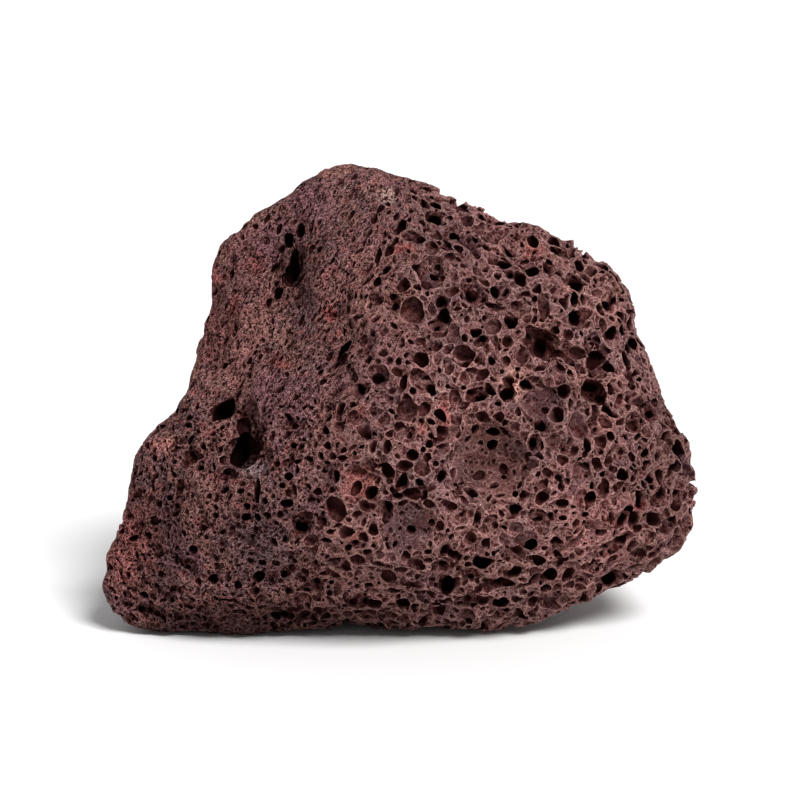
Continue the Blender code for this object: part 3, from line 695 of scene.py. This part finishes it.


# stains on the front, and patches of painted light and shade among them: (across, up), half sizes across
# and up, colour and strength
tints = [
    ((18.9, 42.2), (2.3, 3.2), (176, 126, 112), 0.9), ((27.8, 57.8), (1.6, 1.5), (165, 115, 108), 0.7),
    ((34, 35.8), (1.8, 2.2), (165, 112, 104), 0.7), ((22.4, 64.7), (1.9, 1.5), (150, 72, 66), 0.7),
    ((0.6, 65), (2.2, 1.2), (150, 72, 66), 0.8), ((-11.8, 53.9), (1.3, 1.5), (140, 62, 58), 0.8),
    ((-6.1, 55.8), (1.3, 1.2), (150, 108, 96), 0.6), ((-6.6, 25.5), (3.4, 2.9), (138, 74, 68), 0.8),
    ((-6.1, 37.5), (1.6, 1.6), (128, 66, 62), 0.7), ((7.6, 37.1), (1.1, 2.6), (150, 74, 68), 0.8),
    ((3.9, 34.4), (0.9, 0.9), (150, 74, 68), 0.7), ((-7.5, 16.5), (1.6, 1.3), (138, 72, 66), 0.7),
    ((-43, 17), (3.4, 9), (106, 50, 48), 0.5), ((-39.7, 31.9), (2.5, 1.6), (160, 104, 96), 0.8),
    ((-23.9, 28.1), (1.4, 1.3), (150, 98, 92), 0.7), ((-24.2, 28), (2.4, 1.4), (128, 116, 120), 0.8),
    ((1.3, 17.5), (4.2, 4.1), (94, 74, 80), 0.5), ((-1.6, 73.9), (2.2, 1.4), (176, 146, 138), 0.6),
    ((-26, 52.4), (1.8, 1.6), (130, 96, 92), 0.6), ((-19.7, 45.7), (1.6, 1.6), (128, 62, 56), 0.7),
    ((39.9, 21.8), (0.7, 1.3), (180, 66, 66), 0.9), ((-24, 15), (7, 5), (86, 74, 78), 0.4),
    # the second here is painted shade over a soft hollow in the broad cup
    ((-28, 58), (5, 12), (98, 56, 56), 0.5), ((12.6, 27.6), (3, 3), (78, 56, 54), 0.5),
    # the first here is painted shade along the foot, and the second painted light, with a redder tone, on
    # the lower right
    ((-16, 1.5), (30, 5), (60, 32, 30), 0.6), ((34, 19), (7.5, 7), (136, 84, 80), 0.5),
    # the second here is painted light where the upper left lobe is lit
    ((-46.5, 15), (3, 9), (120, 58, 57), 0.5), ((-27.5, 47), (3.6, 6.5), (134, 88, 84), 0.4),
    ((-29.9, 63.8), (1.2, 1.8), (160, 116, 104), 0.7), ((-24.9, 70.1), (1.5, 1.2), (160, 114, 106), 0.7),
    ((-23.9, 62.2), (1.3, 2.2), (118, 46, 46), 0.6), ((-30.6, 60.8), (0.9, 1.9), (146, 70, 66), 0.6),
    ((-27.9, 55.2), (1, 2.2), (138, 62, 60), 0.6), ((-12.1, 70.8), (1.9, 2.8), (112, 76, 86), 0.6),
    ((-15.2, 56.5), (3, 3.6), (92, 58, 66), 0.4), ((-31.5, 51), (2.2, 5), (118, 64, 66), 0.5),
    # painted shade under the upper edge of the broad cup
    ((15.5, 33.4), (4.6, 2.2), (84, 54, 50), 0.5),
]


# painted light and shade, places painted lighter or darker: (across, up), half sizes across and up, and by
# how much
shades = [
    ((-6.6, 76.4), (5, 3), 0.15), ((13.5, 69.5), (5, 3), 0.15), ((-18, 61), (3.4, 8), -0.3),
    ((-27.6, 46.2), (4, 5), 0.15), ((-34, 42), (3, 4), 0.25), ((-7, 59), (4, 8), 0.15),
    ((6.8, 43), (5.5, 7), 0.2), ((20, 43), (4, 4), 0.15), ((-40.5, 29.5), (4, 4), 0.2),
    ((-47, 14.5), (3.5, 8), 0.25), ((-23, 20), (8, 6), -0.2), ((-41, 8), (4, 3.5), -0.15),
    ((-33.5, 9.2), (4, 3.5), 0.2), ((-22, 1), (22, 4), -0.45), ((6.8, 19), (5, 6), 0.15),
    ((26, 16.5), (12, 8), 0.25), ((0.9, 17.6), (4, 4), -0.1), ((13.5, 29.4), (4.5, 5), -0.15),
    ((-38.5, 20), (3.5, 6), -0.15), ((44, 28), (6, 14), -0.2), ((-26.3, 31.2), (1.5, 2.5), -0.75),
    ((36, 56), (5, 8), 0.1), ((9.5, 66), (6, 4), -0.14),
]


# how far marks on the front waver, by the size, seed and strength of the noise, and how they fade out
marks = {
    "shadeWaver": (2.4 * mm, 7.0, 0.4),
    "shadeEdge": (1.5, 0.5),
    "shadeFront": (-8, -2),
    "tintWaver": (1.6 * mm, 3.0, 0.35),
    "tintEdge": (1.25, 0.5),
    "calmCups": 3,                   # the first cups of the list have a smooth floor
    "calmEdge": (1.05, 0.8),
    "calm": 0.7,
}


def waverOf(points, size, seed, strength):
    return noiseOf(points, size, seed) * strength


def shadeOf(points):
    across, up, out = placesOf(points)
    waver = waverOf(points, *marks["shadeWaver"])
    shade = np.ones(len(points))
    for middle, halves, change in shades:
        away = awayFrom(middle, halves, across, up) + waver
        shade *= 1 + change * smoothStep(*marks["shadeEdge"], away) * smoothStep(*marks["shadeFront"], out)
    return shade


def tintOf(points):
    # the stains and painted patches of light and shade at each point, as a colour with its strength
    across, up, out = placesOf(points)
    waver = waverOf(points, *marks["tintWaver"])
    mixed = np.zeros((len(points), 4))
    for middle, halves, seen, strength in tints:
        away = awayFrom(middle, halves, across, up) + waver
        share = (strength * smoothStep(*marks["tintEdge"], away) * (out > sight["front"]))[:, None]
        mixed = mixed * (1 - share) + np.array(rgb(*seen)) * share
    return mixed


def calmOf(points):
    # the floors of the first cups, which have neither foam nor crisp rims
    across, up, out = placesOf(points)
    calm = np.zeros(len(points))
    for middle, halves, *_ in cups[: marks["calmCups"]]:
        inside = smoothStep(*marks["calmEdge"], awayFrom(middle, halves, across, up))
        calm = np.maximum(calm, marks["calm"] * inside * (out > sight["front"]))
    return calm


rims = {"angle": math.radians(35), "far": 9.0, "tiny": 1e-9}


def rimDistances(mesh):
    # for each corner of each triangle, how far it is in millimetres from each side that is crisp:
    # between the corners, the least of the three is the distance to the nearest rim
    corners = np.empty(len(mesh.loops), np.int32)
    mesh.loops.foreach_get("vertex_index", corners)
    corners = corners.reshape(-1, 3)
    points = vertexArray(mesh) / mm
    triangle = points[corners]
    cross = np.cross(triangle[:, 1] - triangle[:, 0], triangle[:, 2] - triangle[:, 0])
    doubled = np.maximum(np.linalg.norm(cross, axis=1), rims["tiny"])
    normals = cross / doubled[:, None]
    middle = triangle.mean(axis=1)
    starts, ends = corners[:, [1, 2, 0]], corners[:, [2, 0, 1]]
    keys = (np.minimum(starts, ends).astype(np.int64) * len(points) + np.maximum(starts, ends)).ravel()
    order = np.argsort(keys, kind="stable")
    first = np.flatnonzero(keys[order][:-1] == keys[order][1:])
    one, other = order[first], order[first + 1]
    tilted = (normals[one // 3] * normals[other // 3]).sum(axis=1) < math.cos(rims["angle"])
    convex = ((middle[other // 3] - middle[one // 3]) * normals[one // 3]).sum(axis=1) < 0
    crisp = np.zeros(len(keys), bool)
    crisp[one[tilted & convex]] = True
    crisp[other[tilted & convex]] = True
    lengths = np.linalg.norm(points[ends] - points[starts], axis=2)
    heights = doubled[:, None] / np.maximum(lengths, rims["tiny"])
    away = heights[:, :, None] * np.eye(3)
    return np.where(crisp.reshape(-1, 1, 3), away, rims["far"])


def markSurface(mesh):
    # the finish needs to know these, at places as they were before the surface was roughened
    points = vertexArray(mesh)
    kinds = kindsOfRock(points)
    away = rimDistances(mesh)
    roughened(mesh)
    marked = {
        "open": opennessOf(mesh),
        "fine": kinds[:, 1] + kinds[:, 2],
        "calm": calmOf(points),
        "shade": shadeOf(points),
    }
    for name, values in marked.items():
        attribute = mesh.attributes.new(name, "FLOAT", "POINT")
        attribute.data.foreach_set("value", values.astype(np.float32))
    toRim = mesh.attributes.new("toRim", "FLOAT_VECTOR", "CORNER")
    toRim.data.foreach_set("vector", away.astype(np.float32).ravel())
    tint = mesh.attributes.new("tint", "FLOAT_COLOR", "POINT")
    tint.data.foreach_set("color", tintOf(points).astype(np.float32).ravel())
    print("marked", len(points), "points", flush=True)


# which pits each shape of cutter makes, by half width in millimetres, and the seed of its cuts
cutting = {"large": 1.0, "small": 0.62, "cups": 5, "bowls": 20, "balls": 50, "beads": 70, "gems": 90}


def makeRock():
    mesh = makeSkin()
    print("skin", len(mesh.polygons), "faces", flush=True)
    skinTree = treeOf(mesh)
    broad = [sightedPit(skinTree, *cup) for cup in cups]
    fineBalls = makeMoulds(bmesh.ops.create_icosphere, mould["broadDents"], subdivisions=3)
    balls = makeMoulds(bmesh.ops.create_icosphere, mould["dents"], subdivisions=2)
    beads = makeMoulds(bmesh.ops.create_uvsphere, mould["dents"], u_segments=7, v_segments=4)
    gems = makeMoulds(bmesh.ops.create_uvsphere, mould["dents"], u_segments=6, v_segments=2)
    mesh = cut(mesh, broad, fineBalls, True, cutting["cups"])
    mesh = cut(mesh, scatterPits(mesh, bowls, broad), balls, True, cutting["bowls"])
    mesh = thinned(mesh, skin["bowlsMost"])
    bowlTree = treeOf(mesh)
    listed = [sightedPit(bowlTree, *pit) for pit in pits]
    everyPit = listed + scatterPits(mesh, holes, listed, broad[: marks["calmCups"]])
    lots = {"balls": [], "beads": [], "gems": []}
    for pit in everyPit:
        half = max(pit["half"]) / mm
        shape = "balls" if half > cutting["large"] else "beads" if half > cutting["small"] else "gems"
        lots[shape].append(pit)
    mesh = cut(mesh, lots["balls"], balls, True, cutting["balls"])
    mesh = cut(mesh, lots["beads"], beads, False, cutting["beads"])
    mesh = cut(mesh, lots["gems"], gems, False, cutting["gems"])
    mesh = withoutCrumbs(mesh)
    print("pits", len(everyPit), "faces", len(mesh.polygons), flush=True)
    mesh = inOrder(thinned(mesh, skin["most"]))
    markSurface(mesh)
    mesh.shade_smooth()
    mesh.set_sharp_from_angle(angle=skin["sharpFrom"])
    rock = newObject("scoria_lump", mesh)
    print("rock", len(mesh.polygons), "triangles", flush=True)
    return rock


class Wire:
    # one socket, with the arithmetic that a material needs
    def __init__(self, maker, socket):
        self.maker, self.socket = maker, socket

    def __add__(self, other):
        return self.maker.maths("ADD", self, other)

    def __radd__(self, other):
        return self.maker.maths("ADD", other, self)

    def __sub__(self, other):
        return self.maker.maths("SUBTRACT", self, other)

    def __rsub__(self, other):
        return self.maker.maths("SUBTRACT", other, self)

    def __mul__(self, other):
        return self.maker.maths("MULTIPLY", self, other)

    def __rmul__(self, other):
        return self.maker.maths("MULTIPLY", other, self)

    def __rtruediv__(self, other):
        return self.maker.maths("DIVIDE", other, self)


class Finish:
    def __init__(self, name):
        self.material = bpy.data.materials.new(name)
        self.material.use_nodes = True
        self.tree = self.material.node_tree
        self.shader = self.tree.nodes["Principled BSDF"]

    def node(self, kind, settings=None, **sockets):
        # a socket goes by its name, or by its number after an i
        made = self.tree.nodes.new(kind)
        for name, value in (settings or {}).items():
            setattr(made, name, value)
        for name, value in sockets.items():
            key = int(name[1:]) if name[1:].isdigit() else name.replace("_", " ")
            self.feed(made.inputs[key], value)
        return made

    def feed(self, socket, value):
        if isinstance(value, Wire):
            self.tree.links.new(value.socket, socket)
        else:
            socket.default_value = value

    def wire(self, made, output=0):
        return Wire(self, made.outputs[output])

    def maths(self, operation, a, b=0.0):
        return self.wire(self.node("ShaderNodeMath", {"operation": operation}, i0=a, i1=b))

    def mix(self, share, a, b):
        made = self.node("ShaderNodeMix", {"data_type": "RGBA"}, i0=share, i6=a, i7=b)
        return self.wire(made, 2)

    def ramp(self, value, low, high, bottom=0.0, top=1.0):
        settings = {"interpolation_type": "SMOOTHSTEP"}
        made = self.node("ShaderNodeMapRange", settings, i0=value, i1=low, i2=high, i3=bottom, i4=top)
        return self.wire(made)

    def noise(self, scale, detail=2.0, roughness=0.5):
        made = self.node("ShaderNodeTexNoise", None, Scale=scale, Detail=detail, Roughness=roughness)
        self.feed(made.inputs["Vector"], self.place())
        return self.wire(made)

    def place(self):
        return self.wire(self.node("ShaderNodeTexCoord"), 3)

    def vectors(self, operation, a, **sockets):
        return self.wire(self.node("ShaderNodeVectorMath", {"operation": operation}, i0=a, **sockets))

    def warped(self, reach, scale):
        # the place, pushed about by noise
        push = self.node("ShaderNodeTexNoise", None, Scale=scale, Detail=1.0, Vector=self.place())
        centred = self.vectors("SUBTRACT", self.wire(push, 1), i1=(0.5, 0.5, 0.5))
        return self.vectors("ADD", self.place(), i1=self.vectors("SCALE", centred, Scale=reach))

    def unmixed(self, stain):
        # the colour of each stain and painted patch is kept times its strength
        return self.vectors("SCALE", self.wire(stain), Scale=1 / (self.wire(stain, 3) + 0.001))

    def attribute(self, name):
        return self.wire(self.node("ShaderNodeAttribute", {"attribute_name": name}), 2)


scoria = {
    "wall": rgb(111, 75, 73),
    "greyWall": rgb(93, 68, 71),
    "redWall": rgb(118, 54, 52),
    "mauveWall": rgb(98, 62, 73),
    "tanWall": rgb(128, 88, 78),
    # painted highlight on crisp rims and foam ridges, and on the glints
    "rim": rgb(173, 135, 128),
    # painted shade in pits and hollows, also the dark of fine grain and mottling
    "inner": rgb(52, 20, 18),
    # painted shade, near black, deep in the pits and in the fine hollows
    "deep": rgb(22, 3, 2),
    # painted glints
    "speck": rgb(205, 185, 172),
    # patches on the walls: tone, noise, where its ramp rises, and strength with what fine rock adds
    "patches": [
        ("greyWall", (110, 3), (0.38, 0.62), 1.0, 0.0),
        ("redWall", (600, 4, 0.7), (0.48, 0.66), 0.42, 0.4),
        ("mauveWall", (85, 3), (0.50, 0.64), 0.25, 0.45),
        ("tanWall", (150, 3), (0.56, 0.68), 0.3, 0.3),
    ],
    "raised": 2.4,                   # how much lighter than its wall the painted highlight on a rim in a stain is
    # noises: scale, detail and roughness
    "grain": (3400, 2, 0.6),
    "patchy": (190, 2),
    "mottled": (1500, 3, 0.6),
    "broken": (420, 2),
    "sparkle": (5200, 1),
    "specks": (2700, 1),
    "warp": (0.0004, 1000),          # reach and scale
    "lean": (0, math.radians(24), 0),
    "drawn": (1, 1, 1.6),
    "wideFoam": 1100,
    "narrowFoam": 1650,
    "gloss": 0.05,
    "bump": 0.15 * mm,
}


def foamOf(f, place, scale):
    # small round hollows side by side, of all sizes, and the ridges between them, for painted shade,
    # painted highlight and bump
    cells = f.node("ShaderNodeTexVoronoi", None, Scale=scale, Vector=place)
    hollow = f.ramp(f.wire(cells) + 0.35 * f.wire(cells, 1), 0.42, 0.72, 1.0, 0.0)
    edge = f.node("ShaderNodeTexVoronoi", {"feature": "DISTANCE_TO_EDGE"}, Scale=scale, Vector=place)
    return hollow, f.ramp(f.wire(edge), 0.0, 0.10, 1.0, 0.0)


def wallsOf(f, fine, stain):
    # the walls in their patches and stains, and the painted light and shade among the stains
    colour = scoria["wall"]
    for tone, texture, rise, strength, more in scoria["patches"]:
        share = f.ramp(f.noise(*texture), *rise) * (strength + more * fine)
        colour = f.mix(share, colour, scoria[tone])
    return f.mix(f.wire(stain, 3), colour, f.unmixed(stain))


def scoriaFinish():
    f = Finish("scoria")
    opened, fine, calm, shade = (f.attribute(name) for name in ("open", "fine", "calm", "shade"))
    toRim = f.node("ShaderNodeAttribute", {"attribute_name": "toRim"})
    sides = f.node("ShaderNodeSeparateXYZ", None, Vector=f.wire(toRim, 1))
    nearest = f.maths("MINIMUM", f.maths("MINIMUM", f.wire(sides), f.wire(sides, 1)), f.wire(sides, 2))
    stain = f.node("ShaderNodeAttribute", {"attribute_name": "tint"})
    colour = wallsOf(f, fine, stain)
    # a lit copy of the wall, for the painted highlight
    raised = f.vectors("SCALE", colour, Scale=scoria["raised"])
    rimTone = f.mix(0.25 + 0.25 * fine + 0.15 * f.wire(stain, 3), scoria["rim"], raised)

    # foam too fine for the mesh, drawn out in fine rock: painted shade in its hollows and a painted
    # highlight on its ridges
    grain = f.noise(*scoria["grain"])
    place = f.warped(*scoria["warp"])
    leaning = f.node("ShaderNodeMapping", {"vector_type": "TEXTURE"}, Vector=place)
    leaning.inputs["Rotation"].default_value = scoria["lean"]
    leaning.inputs["Scale"].default_value = scoria["drawn"]
    wide, wideRidge = foamOf(f, place, scoria["wideFoam"])
    narrow, narrowRidge = foamOf(f, f.wire(leaning), scoria["narrowFoam"])
    patchy = f.ramp(f.noise(*scoria["patchy"]), 0.34, 0.60, 0.4, 1.0) * (1.0 - calm)
    hollow = (wide * 0.75 * (1 - fine) + narrow * fine) * patchy
    ridge = (wideRidge * 0.5 * (1 - fine) + narrowRidge * fine) * (1.0 - calm)
    mottled = f.ramp(f.noise(*scoria["mottled"]), 0.50, 0.66, 0.0, 0.7) * calm
    colour = f.mix(f.ramp(grain, 0.34, 0.62, 0.7 + 0.15 * fine, 0.0), colour, scoria["inner"])
    colour = f.mix(ridge * f.ramp(grain, 0.4, 0.62, 0.0, 1.0) * 0.9, colour, rimTone)
    colour = f.mix(mottled, colour, scoria["inner"])
    colour = f.mix(f.ramp(hollow, 0.0, 0.5), colour, scoria["inner"])
    colour = f.mix(f.ramp(hollow * fine, 0.08, 0.42), colour, scoria["deep"])
    # painted shade: darker where a place sees less of the sky
    colour = f.mix(f.ramp(opened, 0.25, 0.95, 1.0, 0.0), colour, scoria["inner"])

    # a painted highlight on the crisp rims, broken up by noise in places, and a soft band of painted light
    # inside them
    worn = f.ramp(f.noise(*scoria["broken"]), 0.36, 0.62, 0.25, 0.9)
    broken = worn * f.ramp(grain, 0.36, 0.6, 0.15, 1.0)
    rim = f.ramp(nearest, 0.0, 0.18, 1.0, 0.0) * f.ramp(opened, 0.5, 0.82)
    rim = rim * (1.0 - 0.4 * fine) * (1.0 - 0.8 * calm)
    lip = f.ramp(nearest, 0.0, 0.45, 0.26, 0.0) * (1.0 - 0.8 * fine)
    colour = f.mix(lip * f.ramp(opened, 0.6, 0.9), colour, rimTone)
    colour = f.mix(rim * broken * 0.95, colour, rimTone)

    # painted glints where it is open, dark specks, and painted shade, near black, deep in the pits
    sparkle = f.noise(*scoria["sparkle"])
    lit = f.ramp(sparkle, 0.56, 0.70, 0.0, 0.5 + 0.5 * fine) * f.ramp(opened, 0.55, 0.9)
    specks = f.ramp(f.noise(*scoria["specks"]), 0.74, 0.80) * f.ramp(opened, 0.6, 0.9)
    colour = f.mix(lit, colour, rimTone)
    colour = f.mix(f.ramp(sparkle, 0.30, 0.44, 0.45, 0.0), colour, scoria["inner"])
    colour = f.mix(specks, colour, scoria["speck"])
    colour = f.mix(f.ramp(opened, 0.16, 0.61, 1.0, 0.0), colour, scoria["deep"])
    # painted light and shade from the table of places painted lighter or darker
    shaded = f.vectors("SCALE", colour, Scale=shade * (1.13 - 0.14 * fine))

    f.feed(f.shader.inputs["Base Color"], shaded)
    f.feed(f.shader.inputs["Roughness"], 0.92 - 0.1 * grain)
    f.shader.inputs["Specular IOR Level"].default_value = scoria["gloss"]
    height = grain * 0.5 - hollow * 0.9
    bump = f.node("ShaderNodeBump", None, Strength=1.0, Distance=scoria["bump"], Height=height)
    f.feed(f.shader.inputs["Normal"], f.wire(bump))
    return f.material


studio = {
    "pale": (0.93, 0.93, 0.93, 1),
    "roughness": 0.9,
    "side": 4,                       # the floor's reach to each side, to the front and back, in metres
    "front": 3,
    "back": 1,
    "bend": 1,                       # the radius of its curve up into the backdrop
    "steps": 24,
    "white": (1, 1, 1, 1),
    "sky": 0.30,
    "sunFrom": (38, 50),             # degrees to the right of the eye, and above the floor
    "sunStrength": 3.6,
    "sunAngle": 22,
}


def makeFloor():
    # a strip of floor that curves up into a backdrop
    bm = bmesh.new()
    profile = [bm.verts.new((side, -studio["front"], 0)) for side in (-studio["side"], studio["side"])]
    edge = bm.edges.new(profile)
    geom = bmesh.ops.extrude_edge_only(bm, edges=[edge])["geom"]
    far = [item for item in geom if isinstance(item, bmesh.types.BMVert)]
    bmesh.ops.translate(bm, verts=far, vec=(0, studio["front"] + studio["back"], 0))
    edges = [item for item in geom if isinstance(item, bmesh.types.BMEdge)]
    middle = (0, studio["back"], studio["bend"])
    quarter = math.radians(90)
    bmesh.ops.spin(bm, geom=edges, cent=middle, axis=(1, 0, 0), angle=quarter, steps=studio["steps"])
    bmesh.ops.recalc_face_normals(bm, faces=bm.faces)
    mesh = bpy.data.meshes.new("floor")
    bm.to_mesh(mesh)
    bm.free()
    mesh.shade_smooth()
    floor = newObject("floor", mesh)
    finish = Finish("pale_floor")
    finish.shader.inputs["Base Color"].default_value = studio["pale"]
    finish.shader.inputs["Roughness"].default_value = studio["roughness"]
    floor.data.materials.append(finish.material)


def makeLight():
    world = bpy.data.worlds.new("sky")
    world.use_nodes = True
    backdrop = world.node_tree.nodes["Background"]
    backdrop.inputs["Color"].default_value = studio["white"]
    backdrop.inputs["Strength"].default_value = studio["sky"]
    bpy.context.scene.world = world
    light = bpy.data.lights.new("soft_light", "SUN")
    light.energy = studio["sunStrength"]
    light.angle = math.radians(studio["sunAngle"])
    lamp = newObject("soft_light", light)
    turn, height = (math.radians(angle) for angle in studio["sunFrom"])
    flat = math.cos(height)
    towards = Vector((math.sin(turn) * flat, -math.cos(turn) * flat, math.sin(height)))
    lamp.location = towards
    lamp.rotation_euler = towards.to_track_quat("Z", "Y").to_euler()
    bpy.context.scene.view_settings.view_transform = "Standard"


def makeCamera():
    lens = bpy.data.cameras.new("camera")
    lens.lens = sight["lens"]
    lens.sensor_width = sight["sensor"]
    lens.clip_start = sight["clipStart"]
    camera = newObject("camera", lens)
    axes = Matrix((Vector((1, 0, 0)), upward, outward)).transposed().to_4x4()
    camera.matrix_world = Matrix.Translation(eye) @ axes
    bpy.context.scene.camera = camera


makeCamera()
makeFloor()
makeLight()
print("studio made", flush=True)
rock = makeRock()
rock.data.materials.clear()
rock.data.materials.append(scoriaFinish())
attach(rock, "root")
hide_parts("lava_rock")
